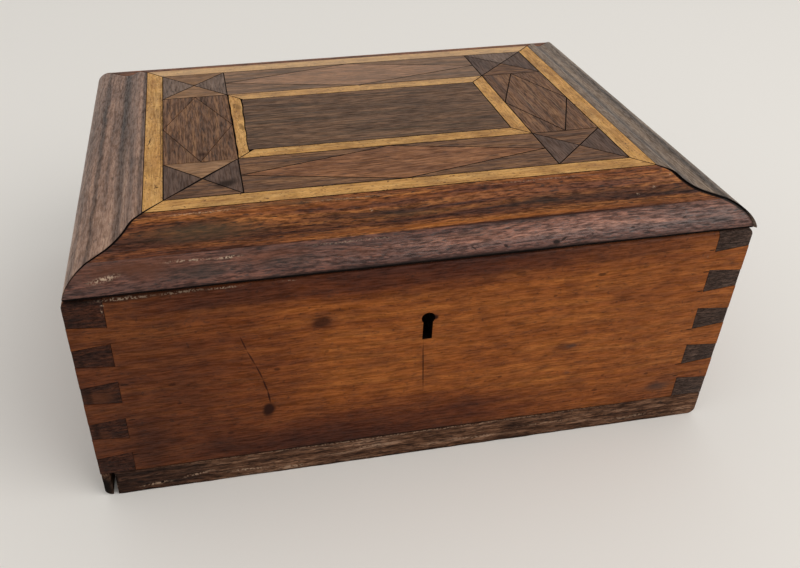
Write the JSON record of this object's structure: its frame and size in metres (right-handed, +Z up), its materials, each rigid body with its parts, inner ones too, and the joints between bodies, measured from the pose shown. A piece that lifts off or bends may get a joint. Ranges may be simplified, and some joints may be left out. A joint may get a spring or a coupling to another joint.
{
  "type": "wooden puzzle box",
  "caption": "Dovetailed wooden box with a hinged lid inlaid with geometric veneers and pale stringing, a keyhole in the front, and a base strip that slides out sideways.",
  "frame": {"origin": "middle of the underside, on the surface that the box stands on", "axes": "+X along the front from left to right, -Y out of the front with the keyhole, +Z up"},
  "size_m": [0.305, 0.2334, 0.135],
  "materials": {
    "wall": "worn oiled mahogany, long grain",
    "moulding": "streaked dark wood, satin",
    "stringing": "honey boxwood, grimy, dull",
    "band_diamond": "reddish veneer, matte",
    "band_ground": "dark veneer, matte",
    "corner_veneer": "mixed dark veneers, matte",
    "centre_veneer": "dark veneer, matte",
    "base_strip": "dark worn wood",
    "carcass": "plain unfinished softwood",
    "brass": "aged brass",
    "iron": "dark worn iron"
  },
  "bodies": {
    "root": {"back_wall": "wall", "base_board": "carcass", "base_strip_back": "base_strip", "base_strip_left": "base_strip", "base_strip_right": "base_strip", "floor_panel": "carcass", "front_wall": "wall", "hinge_left_box_leaf": "brass", "hinge_left_pin": "brass", "hinge_right_box_leaf": "brass", "hinge_right_pin": "brass", "hinge_screws_box": "brass", "left_wall": "wall", "lock_case": "iron", "lock_key_pin": "iron", "lock_plate": "iron", "lock_screws": "brass", "lock_selvedge": "brass", "lock_spring": "iron", "right_wall": "wall", "strip_stop_pin": "iron"},
    "lid": {"band_diamond_back": "band_diamond", "band_diamond_front": "band_diamond", "band_diamond_left": "band_diamond", "band_diamond_right": "band_diamond", "band_triangles_back": "band_ground", "band_triangles_front": "band_ground", "band_triangles_left": "band_ground", "band_triangles_right": "band_ground", "centre_panel": "centre_veneer", "corner_back_left": "corner_veneer", "corner_back_right": "corner_veneer", "corner_front_left": "corner_veneer", "corner_front_right": "corner_veneer", "hinge_left_lid_leaf": "brass", "hinge_right_lid_leaf": "brass", "hinge_screws_lid": "brass", "inner_stringing_back": "stringing", "inner_stringing_front": "stringing", "inner_stringing_left": "stringing", "inner_stringing_right": "stringing", "lid_moulding_back": "moulding", "lid_moulding_front": "moulding", "lid_moulding_left": "moulding", "lid_moulding_right": "moulding", "lid_panel": "carcass", "link_plate": "brass", "link_plate_screws": "brass", "outer_stringing_back": "stringing", "outer_stringing_front": "stringing", "outer_stringing_left": "stringing", "outer_stringing_right": "stringing"},
    "sliding_strip": {"base_strip_front": "base_strip", "key": "iron"},
    "lock_bolt": {"lock_bolt": "iron"}
  },
  "joints": [
    {"name": "lid_hinge", "type": "hinge", "parent": "root", "child": "lid", "pos_m": [0, 0.1155, 0.11675], "axis": [-1, 0, 0], "range_deg": [0, 100]},
    {"name": "base_strip_slide", "type": "slide", "parent": "root", "child": "sliding_strip", "axis": [1, 0, 0], "range_m": [-0.0016, 0.07]},
    {"name": "lock_bolt_slide", "type": "slide", "parent": "root", "child": "lock_bolt", "axis": [1, 0, 0], "range_m": [0, 0.006]}
  ]
}
